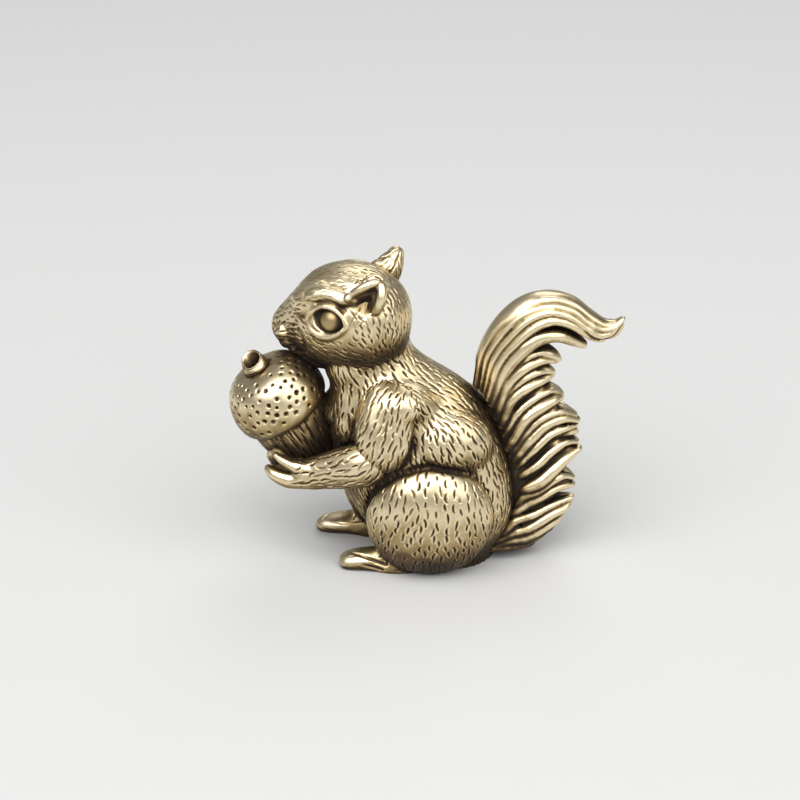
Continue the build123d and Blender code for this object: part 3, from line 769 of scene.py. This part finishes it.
def shadeCasts():
    trees = []
    for obj in casts:
        quads = [tuple(p.vertices) for p in obj.data.polygons]
        trees.append(BVHTree.FromPolygons([v.co for v in obj.data.vertices], quads))
    k = np.arange(shadeRays["rays"])
    height = 1 - (k + 0.5) / shadeRays["rays"]
    spin = k * shadeRays["turn"]
    dome = np.stack([np.sqrt(1 - height**2) * np.cos(spin), np.sqrt(1 - height**2) * np.sin(spin), height], 1)
    for obj in casts:
        mesh = obj.data
        points, normals = readPoints(mesh), readNormals(mesh)
        seeds = onePerCell(points, shadeRays["cell"])
        closed = np.zeros(len(seeds))
        for n, seed in enumerate(seeds):
            normal = normals[seed]
            side = np.cross(normal, (0, 0, 1) if abs(normal[2]) < 0.9 else (1, 0, 0))
            side /= np.linalg.norm(side)
            ways = dome @ np.stack([side, np.cross(normal, side), normal])
            start = Vector(points[seed] + normal * 0.15 * mm)
            hits = 0.0
            for way, weight in zip(ways, height):
                if start.z + way[2] * shadeRays["reach"] < 0:
                    hits += weight * 0.5
                    continue
                for tree in trees:
                    if tree.ray_cast(start, Vector(way), shadeRays["reach"])[0] is not None:
                        hits += weight
                        break
            closed[n] = hits / height.sum()
        tree = treeOf(points[seeds])
        shade = np.empty(len(points))
        for i, p in enumerate(points):
            found = tree.find_n(p, 4)
            weight = np.array([1 / (f[2] / mm + 0.1) for f in found])
            shade[i] = (weight * closed[[f[1] for f in found]]).sum() / weight.sum()
        # painted shade: surfaces that face down are darkened, as if the light came from above
        shade = shade + shadeRays["under"] * smoothStep(-0.5, 0.55, -normals[:, 2])
        writeValues(mesh, "shade", shade * (shadeRays["onEyes"] if obj in eyeCasts.values() else 1))


shadeCasts()
print("shade found")


# Pieces: the clay divided into its nodes again, each closed
def dividedClay():
    mesh = bodyClay.data
    points = readPoints(mesh)
    corners = np.empty(len(mesh.loops), np.int32)
    mesh.loops.foreach_get("vertex_index", corners)
    quads = corners.reshape(-1, 4)
    faceOwner = shares[quads].sum(1).argmax(1)
    values = {}
    for name in ("patinaAndShade", "shade"):
        values[name] = np.empty(len(points), np.float32)
        mesh.attributes[name].data.foreach_get("value", values[name])
    pieces = {}
    for k, node in enumerate(bodyNodes):
        mine = quads[faceOwner == k]
        used, inverse = np.unique(mine, return_inverse=True)
        new = bpy.data.meshes.new(node + "Cast")
        new.vertices.add(len(used))
        new.vertices.foreach_set("co", points[used].ravel())
        new.loops.add(len(mine) * 4)
        new.loops.foreach_set("vertex_index", inverse.ravel().astype(np.int32))
        new.polygons.add(len(mine))
        new.polygons.foreach_set("loop_start", np.arange(0, len(mine) * 4, 4, dtype=np.int32))
        new.update(calc_edges=True)
        new.validate()
        for name, column in values.items():
            writeValues(new, name, column[used])
        obj = link(new.name, new)
        pick(obj)
        bpy.ops.object.mode_set(mode="EDIT")
        bpy.ops.mesh.select_mode(type="EDGE")
        bpy.ops.mesh.select_all(action="DESELECT")
        bpy.ops.mesh.select_non_manifold(extend=False, use_wire=False, use_boundary=True, use_multi_face=False,
                                         use_non_contiguous=False, use_verts=False)
        bpy.ops.mesh.mark_sharp()
        bpy.ops.mesh.fill_holes(sides=0)
        bpy.ops.object.mode_set(mode="OBJECT")
        pieces[node] = obj
    bpy.data.objects.remove(bodyClay)
    return pieces


pieces = dividedClay()
pieces.update({"tail": tailCast, "acorn_cap": capCast, "acorn_nut": nutCast, "acorn_stem": stemCast})
pieces.update({f"eye_{name}": obj for name, obj in eyeCasts.items()})
print("pieces:", {name: len(obj.data.polygons) for name, obj in pieces.items()})


# Brass: bright where it is rubbed, dark with patina in the hollows and with the painted shade
class Wire:
    def __init__(self, tree, socket=None):
        self.tree, self.socket = tree, socket

    def make(self, kind, settings=None, sockets=None, out=0):
        node = self.tree.nodes.new(kind)
        for key, value in (settings or {}).items():
            if key == "stops":
                for n, (place, colour) in enumerate(value):
                    stop = node.color_ramp.elements[n] if n < 2 else node.color_ramp.elements.new(place)
                    stop.position, stop.color = place, (*colour, 1)
            else:
                setattr(node, key, value)
        for key, value in (sockets or {}).items():
            if isinstance(value, Wire):
                self.tree.links.new(value.socket, node.inputs[key])
            else:
                node.inputs[key].default_value = value
        return Wire(self.tree, node.outputs[out]) if len(node.outputs) else Wire(self.tree)

    def maths(self, operation, first, second):
        return self.make("ShaderNodeMath", {"operation": operation}, {0: first, 1: second})

    def __add__(self, other):
        return self.maths("ADD", self, other)

    def __radd__(self, other):
        return self.maths("ADD", other, self)

    def __sub__(self, other):
        return self.maths("SUBTRACT", self, other)

    def __rsub__(self, other):
        return self.maths("SUBTRACT", other, self)

    def __mul__(self, other):
        return self.maths("MULTIPLY", self, other)

    def __rmul__(self, other):
        return self.maths("MULTIPLY", other, self)


brass = {
    "stops": ((0.0, (0.84, 0.71, 0.465)), (0.28, (0.45, 0.34, 0.165)),
              (0.60, (0.135, 0.085, 0.038)), (1.0, (0.026, 0.018, 0.011))),
    "polished": 0.33, "dull": 0.6, "base": 0.04, "patinaAndShade": 0.85, "paintedShade": 0.9, "cloud": 0.6, "grain": 0.15,
}


def brassMaterial(name, darker):
    material = bpy.data.materials.new(name)
    material.use_nodes = True
    tree = material.node_tree
    tree.nodes.clear()
    start = Wire(tree)
    patinaAndShade = start.make("ShaderNodeAttribute", {"attribute_name": "patinaAndShade"}, out=2)
    shade = start.make("ShaderNodeAttribute", {"attribute_name": "shade"}, out=2)
    place = start.make("ShaderNodeTexCoord", out=3)
    cloud = start.make("ShaderNodeTexNoise", None, {"Vector": place, "Scale": 420.0, "Detail": 3.0})
    grain = start.make("ShaderNodeTexNoise", None, {"Vector": place, "Scale": 5200.0, "Detail": 2.0})
    # painted shade: the shade attribute darkens the colour
    paintedShade = start.make("ShaderNodeMapRange", None, {0: shade, 1: 0.16, 2: 0.72, 3: 0.0, 4: 1.0})
    dark = patinaAndShade * brass["patinaAndShade"] + paintedShade * brass["paintedShade"]
    dark = dark + (cloud - 0.5) * brass["cloud"] + (grain - 0.5) * brass["grain"] + (brass["base"] + darker)
    dark = start.make("ShaderNodeClamp", None, {0: dark})
    colour = start.make("ShaderNodeValToRGB", {"stops": brass["stops"]}, {0: dark})
    rough = brass["polished"] + dark * (brass["dull"] - brass["polished"])
    bump = start.make("ShaderNodeBump", None, {"Strength": 0.25, "Distance": 0.00002, "Height": grain})
    metal = start.make("ShaderNodeClamp", None, {0: 1.15 - dark * 0.55})
    shader = start.make("ShaderNodeBsdfPrincipled", None,
                        {"Base Color": colour, "Roughness": rough, "Metallic": metal, "Normal": bump})
    start.make("ShaderNodeOutputMaterial", None, {"Surface": shader})
    return material


finishes = {
    "body_brass": brassMaterial("bodyBrass", 0.0), "tail_brass": brassMaterial("tailBrass", 0.05),
    "acorn_brass": brassMaterial("acornBrass", 0.0), "eye_brass": brassMaterial("eyeBrass", 0.3),
}
slots = {row["node"]: row["material_slot"] for row in frame["record"]["subparts"]}
for node, obj in pieces.items():
    obj.data.materials.clear()
    obj.data.materials.append(finishes[slots[node]])
    for polygon in obj.data.polygons:
        polygon.use_smooth = True
    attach(obj, "root")
    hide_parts(node)
print("brass on")


# Studio: pale floor, soft lamps, the photograph's viewing angle
def plainMaterial(name, colour, roughness):
    material = bpy.data.materials.new(name)
    material.use_nodes = True
    shader = material.node_tree.nodes["Principled BSDF"]
    shader.inputs["Base Color"].default_value = (*colour, 1)
    shader.inputs["Roughness"].default_value = roughness
    return material


bpy.ops.object.select_all(action="DESELECT")
bpy.ops.mesh.primitive_plane_add(size=studio["floorSize"])
floor = bpy.context.view_layer.objects.active
floor.name = "floor"
floor.data.materials.append(plainMaterial("floorPale", studio["floor"], studio["floorRough"]))
target = Vector(studio["target"]) * mm
for place, size, power in studio["lamps"]:
    bpy.ops.object.light_add(type="AREA", location=Vector(place) * mm)
    lamp = bpy.context.view_layer.objects.active
    lamp.data.size = size
    lamp.data.energy = power
    lamp.rotation_euler = (target - lamp.location).to_track_quat("-Z", "Y").to_euler()
world = bpy.data.worlds.new("studio")
bpy.context.scene.world = world
world.use_nodes = True
background = world.node_tree.nodes["Background"]
background.inputs["Color"].default_value = (*studio["sky"], 1)
background.inputs["Strength"].default_value = studio["skyPower"]
bpy.ops.object.camera_add(location=target - Vector(sight) * studio["distance"] * mm,
                          rotation=(math.pi / 2 - tilt, 0, 0))
camera = bpy.context.view_layer.objects.active
camera.data.lens = studio["lens"]
camera.data.clip_start = 0.01
bpy.context.scene.camera = camera
bpy.context.scene.view_settings.view_transform = "Standard"
print("studio set")
